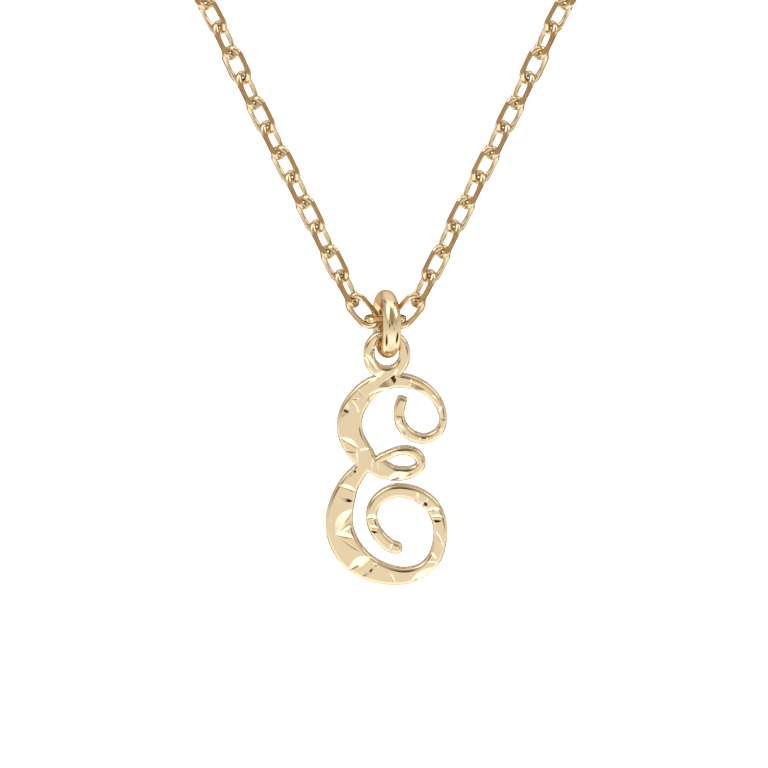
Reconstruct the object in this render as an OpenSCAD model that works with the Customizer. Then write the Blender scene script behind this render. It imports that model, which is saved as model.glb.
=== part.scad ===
// Initial pendant on its diamond-cut cable chain.
// Millimetres, +Z up, the pendant faces -Y. The origin is the middle of the
// neck opening, where the necklace is worn and held.

/* [Chain] */
// Diameter of the chain wire
wire_d = 0.48; // [0.4:0.01:0.56]
// Outer length of one link
link_l = 3.13; // [2.9:0.01:3.4]
// Outer width of one link
link_w = 2; // [1.9:0.05:2.3]
// Free play between two neighbouring links
link_play = 0.12; // [0.11:0.01:0.16]
// How much of the wire each ground flat takes off, as a share of its diameter
flat_share = 0.28; // [0.12:0.01:0.3]
// Links on each side of the middle link
links_side = 100; // [90:1:104]
// Turn of the link planes about the line of the arms
link_turn = 31; // [20:1:40]

/* [Jump ring] */
// Diameter of the jump ring wire
ring_wire = 1.36; // [1.2:0.02:1.44]
// Outer diameter of the jump ring
ring_d = 5.05; // [4.9:0.05:5.4]
// How far the jump ring has slid along the middle link
ring_slide = 0.1; // [0:0.01:0.12]
// Turn of the jump ring about the vertical
ring_turn = 12.5; // [0:0.1:14]
// Gap where the jump ring hangs on the chain and carries the letter
hang_gap = 0.05; // [0.04:0.01:0.08]

/* [Letter] */
// Width of the letter
letter_w = 9; // [8:0.1:11]
// Height of the letter without its eye
letter_h = 16; // [14:0.1:19]
// Width of the widest stroke
stroke_w = 2.1; // [1.8:0.05:2.5]
// Thickness of the letter plate
letter_t = 1; // [0.8:0.05:1.15]
// Radius of the eye's outline
eye_r = 1.73; // [1.65:0.01:1.9]
// Wall of the eye above its hole
eye_wall = 0.42; // [0.38:0.01:0.5]
// Free play between the ring wire and the eye's hole
eye_play = 0.07; // [0.06:0.01:0.1]
// Steepness of the diamond cuts, depth as a share of width
cut_slope = 0.34; // [0.2:0.01:0.45]

/* [Clasp] */
// Outer diameter of the closed clasp
clasp_d = 5.5; // [5:0.1:7]
// Diameter of the clasp's tube
clasp_wire = 1.1; // [0.9:0.05:1.3]

/* [Hidden] */

gold = [0.91, 0.78, 0.55];

// Half length and half width of a link along the middle of its wire
half_l = (link_l - wire_d) / 2;
half_w = (link_w - wire_d) / 2;
pitch = link_l - 2 * wire_d - link_play;
// Half width of the square bar that the ground flats follow
flat_bar = half_w * sqrt(0.5) + wire_d * (0.5 - flat_share);
// The jump ring's middle radius and its drop under the middle link
ring_r = (ring_d - ring_wire) / 2;
rest_r = ring_r - ring_wire / 2 - wire_d / 2 - hang_gap;
rest_y = half_w / cos(ring_turn);
ring_drop = sqrt(rest_r * rest_r - rest_y * rest_y);

// Route of one half of the chain from the first link past the middle, as
// shares of the neck's half width, half depth and the pendant's drop
neck_w = 60;
neck_d = 56;
drop = 62;
// [across, back, up]
route = [
  [0.3700, 0.040, 0.6100],
  [0.5800, 0.150, 0.8450],
  [0.8000, 0.370, 0.9480],
  [0.9600, 0.680, 1.0100],
  [1.0050, 1.010, 1.0620],
  [0.9300, 1.370, 1.1150],
  [0.7100, 1.680, 1.1580],
  [0.4000, 1.880, 1.1820],
  [0.0900, 1.900, 1.1860]
];
arm_lean = 26;
first_lean = 40;
second_lean = 28;
// Steps to the first two links past the middle one, as shares of the pitch
first_step = [0.822, 0, 0.287];
second_step = [0.548, 0, 0.812];

// Middle of the middle link
front = [0, -neck_d, -drop];

function arc_point(a, b, c, d, t) =
  0.5 * (2 * b + (c - a) * t + (2 * a - 5 * b + 4 * c - d) * t * t
  + (3 * b - a - 3 * c + d) * t * t * t);
function arc_run(a, b, c, d, t) =
  0.5 * ((c - a) + 2 * (2 * a - 5 * b + 4 * c - d) * t
  + 3 * (3 * b - a - 3 * c + d) * t * t);
// A smooth line through a list of points, with an equal number of steps
// between each two
function before(p, i) = i > 0 ? p[i - 1] : 2 * p[0] - p[1];
function after(p, i) = i < len(p) - 2 ? p[i + 2] : 2 * p[len(p) - 1] - p[len(p) - 2];
function smooth(p, n) = concat(
  [for (i = [0:len(p) - 2]) for (j = [0:n - 1])
    arc_point(before(p, i), p[i], p[i + 1], after(p, i), j / n)],
  [p[len(p) - 1]]);
function smooth_run(p, n) = concat(
  [for (i = [0:len(p) - 2]) for (j = [0:n - 1])
    arc_run(before(p, i), p[i], p[i + 1], after(p, i), j / n)],
  [arc_run(before(p, len(p) - 2), p[len(p) - 2], p[len(p) - 1],
    after(p, len(p) - 2), 1)]);

// First link past the middle one, hanging in its end
first_dir = [sin(first_lean), 0, cos(first_lean)];
second_dir = [sin(second_lean), 0, cos(second_lean)];
first_at = pitch * first_step;
second_at = first_at + pitch * second_step;

// The route as points, with the length run at each
arm_dir = [sin(arm_lean), 0, cos(arm_lean)];
arm_run = 25;
way_points = concat(
  [for (i = [0:3]) second_at + i / 3 * arm_run * arm_dir],
  [for (r = route) [r[0] * neck_w, r[1] * neck_d, r[2] * drop]]);
raw = smooth(way_points, 12);
function run_length(p) = [for (i = 0, s = 0; i < len(p);
  s = s + (i < len(p) - 1 ? norm(p[i + 1] - p[i]) : 0), i = i + 1) s];
raw_s = run_length(raw);
// The whole route grows or shrinks so that the links just fill it
way_scale = (links_side - 2) * pitch / raw_s[len(raw) - 1];
way = [for (p = raw) second_at + way_scale * (p - second_at)];
way_s = run_length(way);
way_x = [for (i = [0:len(way) - 1]) [way_s[i], way[i][0]]];
way_y = [for (i = [0:len(way) - 1]) [way_s[i], way[i][1]]];
way_z = [for (i = [0:len(way) - 1]) [way_s[i], way[i][2]]];
function way_at(s) = [lookup(s, way_x), lookup(s, way_y), lookup(s, way_z)];
function way_dir(s) =
  let (d = way_at(s + half_l) - way_at(max(0, s - half_l))) d / norm(d);

function link_s(k) = (k - 2) * pitch;
function link_dir(k) = k == 1 ? first_dir : k == 2 ? second_dir : way_dir(link_s(k));
// The links turn into the slant of the arms and back to level at the nape
function turn_of(k) = link_turn * min(1, (k + 1) / 4) * min(1, (links_side - k) / 25);

// The letter's strokes from end to end, in shares of its width and height
// from its lower left, with the stroke width as a share of the widest
// [across, up, width]
top_stroke = [
  [0.634, 0.880, 0.348],
  [0.606, 0.826, 0.383],
  [0.616, 0.765, 0.383],
  [0.689, 0.711, 0.366],
  [0.811, 0.689, 0.314],
  [0.925, 0.720, 0.293],
  [0.965, 0.784, 0.286],
  [0.922, 0.864, 0.317],
  [0.811, 0.929, 0.376],
  [0.664, 0.960, 0.474],
  [0.500, 0.960, 0.557],
  [0.352, 0.920, 0.690],
  [0.239, 0.840, 0.815],
  [0.199, 0.765, 0.889],
  [0.215, 0.699, 0.882],
  [0.270, 0.640, 0.843],
  [0.320, 0.600, 0.801],
  [0.340, 0.581, 0.732]
];
bar_stroke = [
  [0.502, 0.540, 0.544],
  [0.549, 0.528, 0.516],
  [0.631, 0.525, 0.453],
  [0.705, 0.533, 0.383],
  [0.764, 0.552, 0.348],
  [0.784, 0.581, 0.348],
  [0.748, 0.616, 0.334],
  [0.680, 0.633, 0.300],
  [0.598, 0.631, 0.279],
  [0.502, 0.610, 0.279]
];
bowl_stroke = [
  [0.324, 0.569, 0.488],
  [0.262, 0.525, 0.557],
  [0.203, 0.480, 0.672],
  [0.160, 0.426, 0.801],
  [0.127, 0.360, 0.906],
  [0.115, 0.289, 0.969],
  [0.142, 0.216, 0.997],
  [0.225, 0.136, 0.976],
  [0.352, 0.080, 0.836],
  [0.512, 0.047, 0.679],
  [0.664, 0.042, 0.551],
  [0.803, 0.071, 0.453],
  [0.898, 0.129, 0.481],
  [0.939, 0.209, 0.495],
  [0.937, 0.289, 0.502],
  [0.893, 0.358, 0.505],
  [0.799, 0.412, 0.477],
  [0.680, 0.440, 0.453],
  [0.557, 0.442, 0.439],
  [0.447, 0.409, 0.404],
  [0.387, 0.358, 0.394],
  [0.387, 0.294, 0.401],
  [0.443, 0.231, 0.411],
  [0.525, 0.186, 0.418],
  [0.590, 0.174, 0.376]
];
// How far each end of a stroke is rounded, as a share of its half width
top_tip = 0.35;
bowl_tip = 1;
// Filling between the strokes at the waist, in the same shares
// [across, up]
waist = [
  [0.270, 0.574],
  [0.330, 0.640],
  [0.395, 0.632],
  [0.418, 0.604],
  [0.450, 0.618],
  [0.509, 0.629],
  [0.541, 0.621],
  [0.525, 0.596],
  [0.481, 0.587],
  [0.541, 0.569],
  [0.541, 0.525],
  [0.509, 0.503],
  [0.450, 0.505],
  [0.352, 0.532],
  [0.290, 0.560]
];
// Diamond cuts on the front: length and width as shares of the widest stroke,
// with the direction of the cut and the lean of its two faces in degrees
// [across, up, direction, length, width, lean]
cuts = [
  [0.184, 0.459, -21, 0.73, 0.17, -15],
  [0.172, 0.413, -20, 0.62, 0.10, 20],
  [0.156, 0.304, 57, 1.11, 0.24, -20],
  [0.164, 0.282, 45, 0.84, 0.09, 10],
  [0.160, 0.266, 29, 0.70, 0.09, -10],
  [0.160, 0.233, -12, 0.70, 0.14, -20],
  [0.205, 0.193, -36, 0.84, 0.09, 10],
  [0.287, 0.106, 31, 0.98, 0.28, -15],
  [0.345, 0.064, 38, 0.52, 0.09, 20],
  [0.410, 0.099, -30, 0.28, 0.14, 0],
  [0.553, 0.033, -65, 0.49, 0.09, -10],
  [0.795, 0.052, 33, 1.05, 0.17, -15],
  [0.885, 0.107, -8, 0.56, 0.08, -15],
  [0.880, 0.150, -48, 0.50, 0.08, -8],
  [0.885, 0.358, 12, 0.52, 0.14, -15],
  [0.910, 0.326, 2, 0.52, 0.11, -15],
  [0.912, 0.310, -2, 0.52, 0.07, 20],
  [0.746, 0.412, 80, 0.49, 0.13, 14],
  [0.810, 0.388, 58, 0.50, 0.13, 17],
  [0.381, 0.322, 12, 0.49, 0.17, -15],
  [0.393, 0.275, -5, 0.49, 0.11, -15],
  [0.389, 0.259, -8, 0.49, 0.07, 20],
  [0.545, 0.181, 78, 0.45, 0.10, -10],
  [0.287, 0.911, 118, 0.45, 0.08, -10],
  [0.352, 0.878, -60, 0.42, 0.08, 0],
  [0.515, 0.970, 36, 0.84, 0.22, 20],
  [0.420, 0.981, 39, 0.80, 0.15, -15],
  [0.443, 0.918, 20, 0.87, 0.11, -15],
  [0.160, 0.831, 68, 0.59, 0.14, 20],
  [0.250, 0.845, -60, 0.59, 0.08, -10],
  [0.246, 0.882, 5, 0.31, 0.06, 0],
  [0.197, 0.675, -31, 0.77, 0.18, -15],
  [0.201, 0.635, -4, 0.52, 0.09, 10],
  [0.252, 0.591, 86, 0.80, 0.09, 20],
  [0.320, 0.645, 14, 0.38, 0.08, -10],
  [0.380, 1.052, -56, 0.80, 0.15, -15],
  [0.340, 1.055, -68, 0.55, 0.10, -15],
  [0.393, 1.112, 62, 0.42, 0.18, 18],
  [0.701, 0.953, 80, 0.52, 0.08, -10],
  [0.939, 0.838, 40, 0.28, 0.14, 0],
  [0.967, 0.788, -15, 0.38, 0.09, 15],
  [0.959, 0.736, -12, 0.38, 0.08, -10],
  [0.779, 0.687, 88, 0.38, 0.06, -10],
  [0.832, 0.689, 92, 0.38, 0.06, 10],
  [0.602, 0.802, -8, 0.38, 0.08, 15],
  [0.590, 0.773, 28, 0.28, 0.10, 0],
  [0.643, 0.734, 112, 0.38, 0.14, -15],
  [0.389, 0.562, 90, 0.66, 0.08, -10],
  [0.439, 0.558, -78, 0.66, 0.08, 10],
  [0.594, 0.513, 19, 0.87, 0.24, -15],
  [0.701, 0.532, 32, 0.38, 0.08, 10],
  [0.578, 0.626, 15, 0.42, 0.08, -10],
  [0.582, 0.997, 72, 0.45, 0.12, -15],
  [0.748, 0.945, -27, 0.70, 0.20, 14],
  [0.230, 0.537, 52, 0.42, 0.07, 20],
  [0.889, 0.887, -50, 0.24, 0.08, -15],
  [0.622, 0.742, 118, 0.42, 0.09, 20],
  [0.765, 0.392, -50, 0.42, 0.14, 14],
  [0.934, 0.225, -62, 0.66, 0.10, -10]
];

// The wire of the jump ring where it carries the letter, and the eye
eye_hole_r = ring_wire / 2 / cos(ring_turn) + letter_t / 2 * tan(ring_turn) + eye_play;
eye_lift = ring_r - sqrt(ring_r * ring_r - letter_t * letter_t / 4) + hang_gap / 2;
eye_drop = 0.32 * eye_r;
eye_top = eye_hole_r + eye_lift + eye_wall;
// Height of the ring wire over the letter's foot and place across, in shares
hang_up = 1.112;
hang_across = 0.504;

ring_at = front + [ring_slide, 0, -ring_drop];
hang_at = ring_at - [0, 0, ring_r];
clasp_at = [0, front[1] + way[len(way) - 1][1], front[2] + way[len(way) - 1][2]];

module wire_bend() {
  rotate([0, 0, -90])
    rotate_extrude(angle = 180, $fn = 48)
      translate([half_w, 0])
        circle(d = wire_d, $fn = 24);
}

// One link: a long oval of round wire with four flats ground along it
module link() {
  intersection() {
    union() {
      for (side = [0, 180])
        rotate([0, 0, side]) {
          translate([half_l - half_w, 0, 0])
            wire_bend();
          translate([half_w - half_l, half_w, 0])
            rotate([0, 90, 0])
              cylinder(d = wire_d, h = 2 * (half_l - half_w), $fn = 24);
        }
    }
    rotate([45, 0, 0])
      cube([link_l + 1, 2 * flat_bar, 2 * flat_bar], center = true);
  }
}

module link_at(k, side) {
  c = k == 1 ? first_at : way_at(link_s(k));
  u = link_dir(k);
  translate([side * c[0], c[1], c[2]])
    rotate([0, 0, atan2(u[1], side * u[0])])
      rotate([0, -asin(u[2]), 0])
        rotate([side * (turn_of(k) + (k % 2 == 1 ? 90 : 0)), 0, 0])
          link();
}

module chain_left() {
  color(gold)
    translate(front)
      for (k = [1:links_side])
        link_at(k, -1);
}

module chain_right() {
  color(gold)
    translate(front) {
      link();
      for (k = [1:links_side])
        link_at(k, 1);
    }
}

// Points along one side of a stroke
function side_points(t, s, n) =
  let (p = smooth(t, n), d = smooth_run(t, n))
  [for (i = [0:len(p) - 1])
    let (
      across = [d[i][0] * letter_w, d[i][1] * letter_h],
      out = [-across[1], across[0]] / norm(across))
    [p[i][0] * letter_w, p[i][1] * letter_h] + s * p[i][2] * stroke_w / 2 * out];
// A rounded cap over one end, drawn from the first side to the other
function tip_points(a, b, depth) =
  let (mid = (a + b) / 2, half = (a - b) / 2, out = [half[1], -half[0]])
  [for (v = [15:15:165]) mid + cos(v) * half + sin(v) * depth * out];
function stroke_outline(t, tip_start, tip_end, n) =
  let (
    l = side_points(t, 1, n),
    r = side_points(t, -1, n),
    m = len(l) - 1)
  concat(
    l,
    tip_end > 0 ? tip_points(l[m], r[m], tip_end) : [],
    [for (i = [m:-1:0]) r[i]],
    tip_start > 0 ? tip_points(r[0], l[0], tip_start) : []);

module stroke(t, tip_start, tip_end) {
  polygon(stroke_outline(t, tip_start, tip_end, 4));
}

// Flat outline of the letter, with its foot at the lower left
module letter_outline() {
  stroke(top_stroke, top_tip, 0);
  stroke(bar_stroke, 0, 0);
  stroke(bowl_stroke, 0, bowl_tip);
  polygon([for (p = waist) [p[0] * letter_w, p[1] * letter_h]]);
}

// Solid of the eye round the ring wire, which passes at the origin
module eye_plate() {
  low = eye_top - eye_r;
  for (z = [low, low - 0.1 * eye_r])
    translate([0, 0, z])
      rotate([90, 0, 0])
        cylinder(r = eye_r, h = letter_t, center = true, $fn = 96);
  translate([-eye_r, -letter_t / 2, low - 0.1 * eye_r])
    cube([2 * eye_r, letter_t, 0.1 * eye_r]);
}

module eye_hole() {
  for (z = [eye_lift, eye_lift - eye_drop])
    translate([0, 0, z])
      rotate([90, 0, 0])
        cylinder(r = eye_hole_r, h = letter_t + 1, center = true, $fn = 96);
  translate([-eye_hole_r, -letter_t / 2 - 0.5, eye_lift - eye_drop])
    cube([2 * eye_hole_r, letter_t + 1, eye_drop]);
}

// A sharp-edged wheel that leaves a leaf-shaped cut of the given length
module cut_wheel(length, width, lean) {
  depth = cut_slope * width;
  r = (length * length / 4 + depth * depth) / (2 * depth);
  h = width * r / (2 * depth);
  rotate([lean, 0, 0])
    translate([0, depth - r, 0])
      rotate_extrude($fn = 96)
        polygon([[0, -h], [r, 0], [0, h]]);
}

// The letter and its eye before cutting, hung from the origin
module blank() {
  difference() {
    union() {
      translate([-hang_across * letter_w, 0, -hang_up * letter_h])
        rotate([90, 0, 0])
          linear_extrude(letter_t, center = true)
            letter_outline();
      eye_plate();
    }
    eye_hole();
  }
}

// The blank with the first n diamond cuts taken one after another
module carved(n) {
  if (n == 0)
    blank();
  else {
    c = cuts[n - 1];
    difference() {
      carved(n - 1);
      translate([(c[0] - hang_across) * letter_w, -letter_t / 2, (c[1] - hang_up) * letter_h])
        rotate([0, -c[2], 0])
          cut_wheel(c[3] * stroke_w, c[4] * stroke_w, c[5]);
    }
  }
}

module initial() {
  color(gold)
    translate(hang_at)
      carved(len(cuts));
}

module jump_ring() {
  color(gold)
    translate(ring_at)
      rotate([0, 0, ring_turn])
        rotate([0, 90, 0])
          rotate_extrude($fn = 96)
            translate([ring_r, 0])
              circle(d = ring_wire, $fn = 48);
}

// A closed round clasp with a small loop on each side for the last links
module clasp() {
  tube_r = (clasp_d - clasp_wire) / 2;
  loop_wire = 0.6;
  loop_r = 0.9;
  last_x = way[len(way) - 1][0];
  loop_x = last_x - half_l + wire_d / 2 + loop_wire / 2 + 0.06 - loop_r;
  color(gold)
    translate(clasp_at)
      rotate([90, 0, 0]) {
        rotate_extrude($fn = 96)
          translate([tube_r, 0])
            circle(d = clasp_wire, $fn = 48);
        for (side = [-1, 1]) {
          translate([side * loop_x, 0, 0])
            rotate_extrude($fn = 72)
              translate([loop_r, 0])
                circle(d = loop_wire, $fn = 36);
          translate([side * (tube_r + loop_x - loop_r) / 2, 0, 0])
            rotate([0, 90, 0])
              cylinder(d = loop_wire + 0.15, h = loop_x - loop_r - tube_r + 0.3, center = true, $fn = 48);
        }
      }
}

initial();
jump_ring();
chain_left();
chain_right();
clasp();
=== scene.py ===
"""Dresses the initial pendant on its diamond-cut cable chain."""

import logging
import math
from dataclasses import dataclass, field
from enum import Enum

import bmesh
import bpy
from bmesh.types import BMEdge, BMFace, BMVert, BMesh
from bpy.types import ID, Material, Mesh, Node, NodeTree, Object
from mathutils import Matrix, Vector

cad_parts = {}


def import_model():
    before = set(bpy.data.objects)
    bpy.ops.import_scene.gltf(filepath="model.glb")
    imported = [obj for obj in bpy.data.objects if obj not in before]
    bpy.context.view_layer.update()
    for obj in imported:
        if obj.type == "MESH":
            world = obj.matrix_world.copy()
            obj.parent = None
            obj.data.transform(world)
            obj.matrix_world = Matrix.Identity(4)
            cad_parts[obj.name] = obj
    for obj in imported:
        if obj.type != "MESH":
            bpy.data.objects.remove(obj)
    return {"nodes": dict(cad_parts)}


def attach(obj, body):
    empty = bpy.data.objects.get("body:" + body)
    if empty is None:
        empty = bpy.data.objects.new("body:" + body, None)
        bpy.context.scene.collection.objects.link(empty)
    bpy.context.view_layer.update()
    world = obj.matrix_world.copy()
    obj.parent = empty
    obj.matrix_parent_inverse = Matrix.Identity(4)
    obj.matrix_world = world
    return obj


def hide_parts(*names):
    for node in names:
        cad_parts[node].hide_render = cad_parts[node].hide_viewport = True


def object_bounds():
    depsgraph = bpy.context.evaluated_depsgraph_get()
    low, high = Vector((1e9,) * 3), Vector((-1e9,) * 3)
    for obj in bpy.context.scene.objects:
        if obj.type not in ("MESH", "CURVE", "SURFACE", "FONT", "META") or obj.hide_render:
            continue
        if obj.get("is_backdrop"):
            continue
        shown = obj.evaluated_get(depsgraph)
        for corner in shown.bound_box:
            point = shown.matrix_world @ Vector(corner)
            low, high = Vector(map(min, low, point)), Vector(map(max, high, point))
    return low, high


log = logging.getLogger("pendant")
MM = 0.001
Triple = tuple[float, float, float]
Colour = Triple

# Sockets of a colour mix node, which share their names with its other kinds
MIX_FACTOR, MIX_A, MIX_B, MIX_RESULT = 0, 6, 7, 2


class Surface(Enum):
    """Kinds of surface on the letter, in the order of its material slots."""

    FRONT = 0
    CUT = 1
    WALL = 2


class LinkKind(Enum):
    """How finely a link is drawn: sides of the wire, steps round an end and along a side."""

    NEAR = (14, 9, 6)
    FAR = (8, 5, 3)


def wire_up(tree: NodeTree, pairs: list[tuple[object, object]]) -> None:
    """Joins output sockets to input sockets in a node tree."""
    for out, into in pairs:
        tree.links.new(out, into)


def set_inputs(node: Node, values: dict[str, object]) -> None:
    """Sets some inputs of a node, by their labels."""
    for label, value in values.items():
        node.inputs[label].default_value = value


def add_node(tree: NodeTree, kind: str, values: dict[str, object]) -> Node:
    """Adds a shader node.

    Args:
        tree: Tree to add it to.
        kind: Type of the node.
        values: Values of some of its inputs, by label.

    Returns:
        The node.
    """
    node = tree.nodes.new(kind)
    set_inputs(node, values)
    return node


def colour_mix(tree: NodeTree, over: Colour) -> Node:
    """Adds a node that lays a fixed colour over another one.

    Args:
        tree: Tree to add it to.
        over: The fixed colour.

    Returns:
        The node.
    """
    mix = tree.nodes.new("ShaderNodeMix")
    mix.data_type = "RGBA"
    mix.inputs[MIX_B].default_value = (*over, 1)
    return mix


def new_group(name: str, inputs: dict[str, tuple[str, float]], outputs: dict[str, str]) -> NodeTree:
    """Makes a shader group with named sockets.

    Args:
        name: Name of the group.
        inputs: Socket name to its type and default value.
        outputs: Socket name to its type.

    Returns:
        The group, with its input and output nodes in place.
    """
    group = bpy.data.node_groups.new(name, "ShaderNodeTree")
    for label, (kind, value) in inputs.items():
        socket = group.interface.new_socket(label, in_out="INPUT", socket_type=kind)
        if kind == "NodeSocketFloat":
            socket.default_value = value
    for label, kind in outputs.items():
        group.interface.new_socket(label, in_out="OUTPUT", socket_type=kind)
    group.nodes.new("NodeGroupInput").name = "in"
    group.nodes.new("NodeGroupOutput").name = "out"
    return group


def polish_group() -> NodeTree:
    """Polished metal that isn't perfect: soft dents, hairlines and cloudy shine.

    Returns:
        A group that gives a height for a bump, a roughness and a tone between 0 and 1.
    """
    g = new_group(
        "hand_polish",
        {
            "Place": ("NodeSocketVector", 0),
            "Roughness": ("NodeSocketFloat", 0.1),
            "Cloud": ("NodeSocketFloat", 0.05),
            "Dents per m": ("NodeSocketFloat", 700),
        },
        {"Height": "NodeSocketFloat", "Roughness": "NodeSocketFloat", "Tone": "NodeSocketFloat"},
    )
    src, out = g.nodes["in"], g.nodes["out"]
    dents = add_node(g, "ShaderNodeTexNoise", {"Detail": 1.0})
    hairs = add_node(g, "ShaderNodeTexNoise", {"Scale": 9000, "Detail": 3.0})
    stretch = add_node(g, "ShaderNodeMapping", {"Scale": (1.0, 1.0, 0.12), "Rotation": (0.0, 0.5, 0.3)})
    cloud = add_node(g, "ShaderNodeTexNoise", {"Scale": 1500, "Detail": 4.0})
    weak = g.nodes.new("ShaderNodeMath")
    weak.operation = "MULTIPLY"
    weak.inputs[1].default_value = 0.12
    height = g.nodes.new("ShaderNodeMath")
    height.operation = "ADD"
    rough = g.nodes.new("ShaderNodeMath")
    rough.operation = "MULTIPLY_ADD"
    wire_up(g, [
        (src.outputs["Place"], dents.inputs["Vector"]),
        (src.outputs["Dents per m"], dents.inputs["Scale"]),
        (src.outputs["Place"], stretch.inputs["Vector"]),
        (stretch.outputs[0], hairs.inputs["Vector"]),
        (src.outputs["Place"], cloud.inputs["Vector"]),
        (hairs.outputs["Fac"], weak.inputs[0]),
        (dents.outputs["Fac"], height.inputs[0]),
        (weak.outputs[0], height.inputs[1]),
        (cloud.outputs["Fac"], rough.inputs[0]),
        (src.outputs["Cloud"], rough.inputs[1]),
        (src.outputs["Roughness"], rough.inputs[2]),
        (height.outputs[0], out.inputs["Height"]),
        (rough.outputs[0], out.inputs["Roughness"]),
        (cloud.outputs["Fac"], out.inputs["Tone"]),
    ])
    return g


def milling_group() -> NodeTree:
    """The fine, uneven slanting ribs that a milling tool leaves on a cast wall.

    Returns:
        A group that gives a height and a mask of the grooves.
    """
    g = new_group(
        "milled_ribs",
        {"Place": ("NodeSocketVector", 0), "Ribs per m": ("NodeSocketFloat", 2600)},
        {"Height": "NodeSocketFloat", "Groove": "NodeSocketFloat"},
    )
    src, out = g.nodes["in"], g.nodes["out"]
    cells = add_node(g, "ShaderNodeTexVoronoi", {"Randomness": 0.55})
    squeeze = add_node(g, "ShaderNodeMapping", {"Scale": (1.0, 0.42, 1.0), "Rotation": (0.0, 0.0, 0.5)})
    groove = add_node(g, "ShaderNodeMapRange", {"From Min": 0.30, "From Max": 0.62})
    wire_up(g, [
        (src.outputs["Place"], squeeze.inputs["Vector"]),
        (squeeze.outputs[0], cells.inputs["Vector"]),
        (src.outputs["Ribs per m"], cells.inputs["Scale"]),
        (cells.outputs["Distance"], groove.inputs["Value"]),
        (cells.outputs["Distance"], out.inputs["Height"]),
        (groove.outputs[0], out.inputs["Groove"]),
    ])
    return g


@dataclass(frozen=True)
class GoldFinish:
    """One finish of the gold, from mirror-cut to milled.

    Attributes:
        name: Name of the material.
        base: Reflected colour.
        shade: Reflected colour where the shine is cloudy.
        roughness: Least roughness.
        cloud: Roughness that the cloudy shine adds.
        dents: Soft dents to a metre.
        bump: Strength of the dents or ribs.
        reach: Height of the dents or ribs, in metres.
        ribs: Milled ribs to a metre, 0 for a finish without them.
        groove_painted_shade: Painted shade in the grooves between the ribs, laid over the reflected colour.
        rim: Tint of a grazing reflection; a dark tint here paints dark outlines along the round edges.
    """

    name: str
    base: Colour
    shade: Colour
    roughness: float = 0.1
    cloud: float = 0.05
    dents: float = 700.0
    bump: float = 0.1
    reach: float = 0.00002
    ribs: float = 0.0
    groove_painted_shade: Colour = (0.25, 0.13, 0.05)
    rim: Colour = (1.0, 1.0, 1.0)

    def build(self, polish: NodeTree, milling: NodeTree) -> Material:
        """Makes the material.

        Args:
            polish: The hand polish group.
            milling: The milled ribs group.

        Returns:
            The finished material.
        """
        mat = bpy.data.materials.new(self.name)
        mat.use_nodes = True
        t = mat.node_tree
        gold = t.nodes["Principled BSDF"]
        # A dark rim tint paints dark outlines where the surface is seen at a grazing angle.
        set_inputs(gold, {"Metallic": 1.0, "Specular Tint": (*self.rim, 1)})
        where = t.nodes.new("ShaderNodeTexCoord")
        worn = t.nodes.new("ShaderNodeGroup")
        worn.node_tree = polish
        set_inputs(worn, {"Roughness": self.roughness, "Cloud": self.cloud, "Dents per m": self.dents})
        tone = colour_mix(t, self.shade)
        tone.inputs[MIX_A].default_value = (*self.base, 1)
        bump = add_node(t, "ShaderNodeBump", {"Strength": self.bump, "Distance": self.reach})
        pairs = [
            (where.outputs["Object"], worn.inputs["Place"]),
            (worn.outputs["Tone"], tone.inputs[MIX_FACTOR]),
            (worn.outputs["Roughness"], gold.inputs["Roughness"]),
            (bump.outputs[0], gold.inputs["Normal"]),
        ]
        if self.ribs:
            ribs = t.nodes.new("ShaderNodeGroup")
            ribs.node_tree = milling
            set_inputs(ribs, {"Ribs per m": self.ribs})
            # Painted shade: the grooves between the milled ribs are darkened in the base colour.
            dark = colour_mix(t, self.groove_painted_shade)
            pairs += [
                (where.outputs["UV"], ribs.inputs["Place"]),
                (ribs.outputs["Groove"], dark.inputs[MIX_FACTOR]),
                (tone.outputs[MIX_RESULT], dark.inputs[MIX_A]),
                (dark.outputs[MIX_RESULT], gold.inputs["Base Color"]),
                (ribs.outputs["Height"], bump.inputs["Height"]),
            ]
        else:
            pairs += [
                (tone.outputs[MIX_RESULT], gold.inputs["Base Color"]),
                (worn.outputs["Height"], bump.inputs["Height"]),
            ]
        wire_up(t, pairs)
        return mat


# Plain gold, its cloudy tone, a near-black tint of grazing reflections that paints dark outlines along the
# round edges, and a darker brown copy of the gold that paints shade on the ground flats of the links
GOLD: Colour = (0.785, 0.65, 0.44)
WARM: Colour = (0.74, 0.59, 0.375)
DARK_RIM_PAINT: Colour = (0.13, 0.07, 0.03)
FLAT_PAINTED_SHADE: Colour = (0.4, 0.22, 0.09)

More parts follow.
